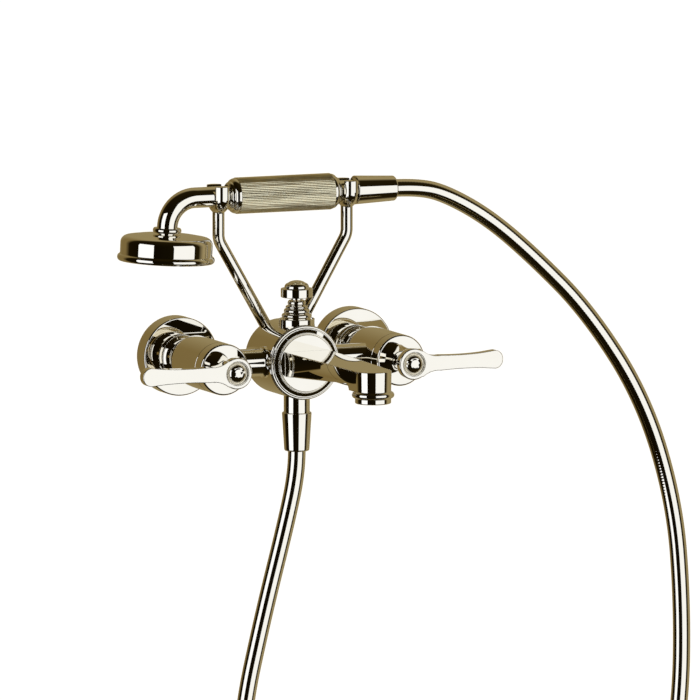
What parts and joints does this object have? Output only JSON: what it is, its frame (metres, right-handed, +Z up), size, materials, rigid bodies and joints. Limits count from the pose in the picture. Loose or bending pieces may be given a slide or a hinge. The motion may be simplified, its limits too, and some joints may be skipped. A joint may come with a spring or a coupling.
{
  "type": "wall mounted bath faucet",
  "caption": "Wall mounted bath faucet with lever handles, round mixing drum, fixed spout, pull-up diverter, and a hand shower with hose resting in a cradle.",
  "frame": {"origin": "on the wall plane, midway between the two inlets", "axes": "+X right seen from the front, +Y into the wall, +Z up"},
  "size_m": [0.4967, 0.2601, 0.7124],
  "materials": {
    "polished_nickel": "mirror polished warm nickel",
    "raw_brass": "machined",
    "steel": "plain",
    "rubber": "matte",
    "ceramic": "lapped",
    "plastic": "moulded"
  },
  "bodies": {
    "faucet": {"left_escutcheon": "polished_nickel", "left_inlet_union": "raw_brass", "left_union_nut": "polished_nickel", "left_valve_body": "polished_nickel", "left_valve_bezel": "polished_nickel", "left_cartridge_body": "raw_brass", "left_cross_tube": "polished_nickel", "left_cradle_arm": "polished_nickel", "left_saddle": "polished_nickel", "right_escutcheon": "polished_nickel", "right_inlet_union": "raw_brass", "right_union_nut": "polished_nickel", "right_valve_body": "polished_nickel", "right_valve_bezel": "polished_nickel", "right_cartridge_body": "raw_brass", "right_cross_tube": "polished_nickel", "right_cradle_arm": "polished_nickel", "right_saddle": "polished_nickel", "union_washers": "rubber", "cartridge_seals": "rubber", "fixed_discs": "ceramic", "drum_body": "polished_nickel", "drum_front_cap": "polished_nickel", "drum_seal": "rubber", "spout": "polished_nickel", "aerator_housing": "polished_nickel", "aerator_insert": "plastic", "diverter_bonnet": "polished_nickel", "diverter_spring": "steel", "diverter_cage": "raw_brass", "shower_outlet": "polished_nickel", "lower_hose_nut": "polished_nickel", "lower_hose_washer": "rubber", "lower_hose_ferrule": "raw_brass", "shower_hose": "polished_nickel"},
    "left_handle": {"left_lever": "polished_nickel", "left_lever_screw": "steel", "left_lever_cap": "polished_nickel", "left_spindle": "raw_brass", "left_moving_disc": "ceramic"},
    "right_handle": {"right_lever": "polished_nickel", "right_lever_screw": "steel", "right_lever_cap": "polished_nickel", "right_spindle": "raw_brass", "right_moving_disc": "ceramic"},
    "diverter": {"diverter_stem": "raw_brass", "diverter_knob": "polished_nickel", "diverter_plunger": "rubber"},
    "handset": {"handset_arm": "polished_nickel", "handset_inner_tube": "raw_brass", "grip_sleeve": "polished_nickel", "grip_front_cap": "polished_nickel", "grip_rear_cap": "polished_nickel", "head_collar": "polished_nickel", "shower_head_shell": "polished_nickel", "spray_plate": "polished_nickel", "spray_nozzles": "rubber", "upper_hose_nut": "polished_nickel", "upper_hose_washer": "rubber", "upper_hose_ferrule": "raw_brass"}
  },
  "joints": [
    {"name": "left_lever_turn", "type": "hinge", "parent": "faucet", "child": "left_handle", "pos_m": [-0.075, -0.12, 0], "axis": [0, -1, 0], "range_deg": [0, 90]},
    {"name": "right_lever_turn", "type": "hinge", "parent": "faucet", "child": "right_handle", "pos_m": [0.075, -0.12, 0], "axis": [0, 1, 0], "range_deg": [0, 90]},
    {"name": "diverter_pull", "type": "slide", "parent": "faucet", "child": "diverter", "axis": [0, 0, 1], "range_m": [0, 0.008], "stiffness_N_per_m": 300, "springref_m": -0.01, "deforming": ["diverter_spring"]},
    {"name": "handset_lift", "type": "slide", "parent": "faucet", "child": "handset", "axis": [0, 0, 1], "range_m": [0, 0.06]}
  ]
}
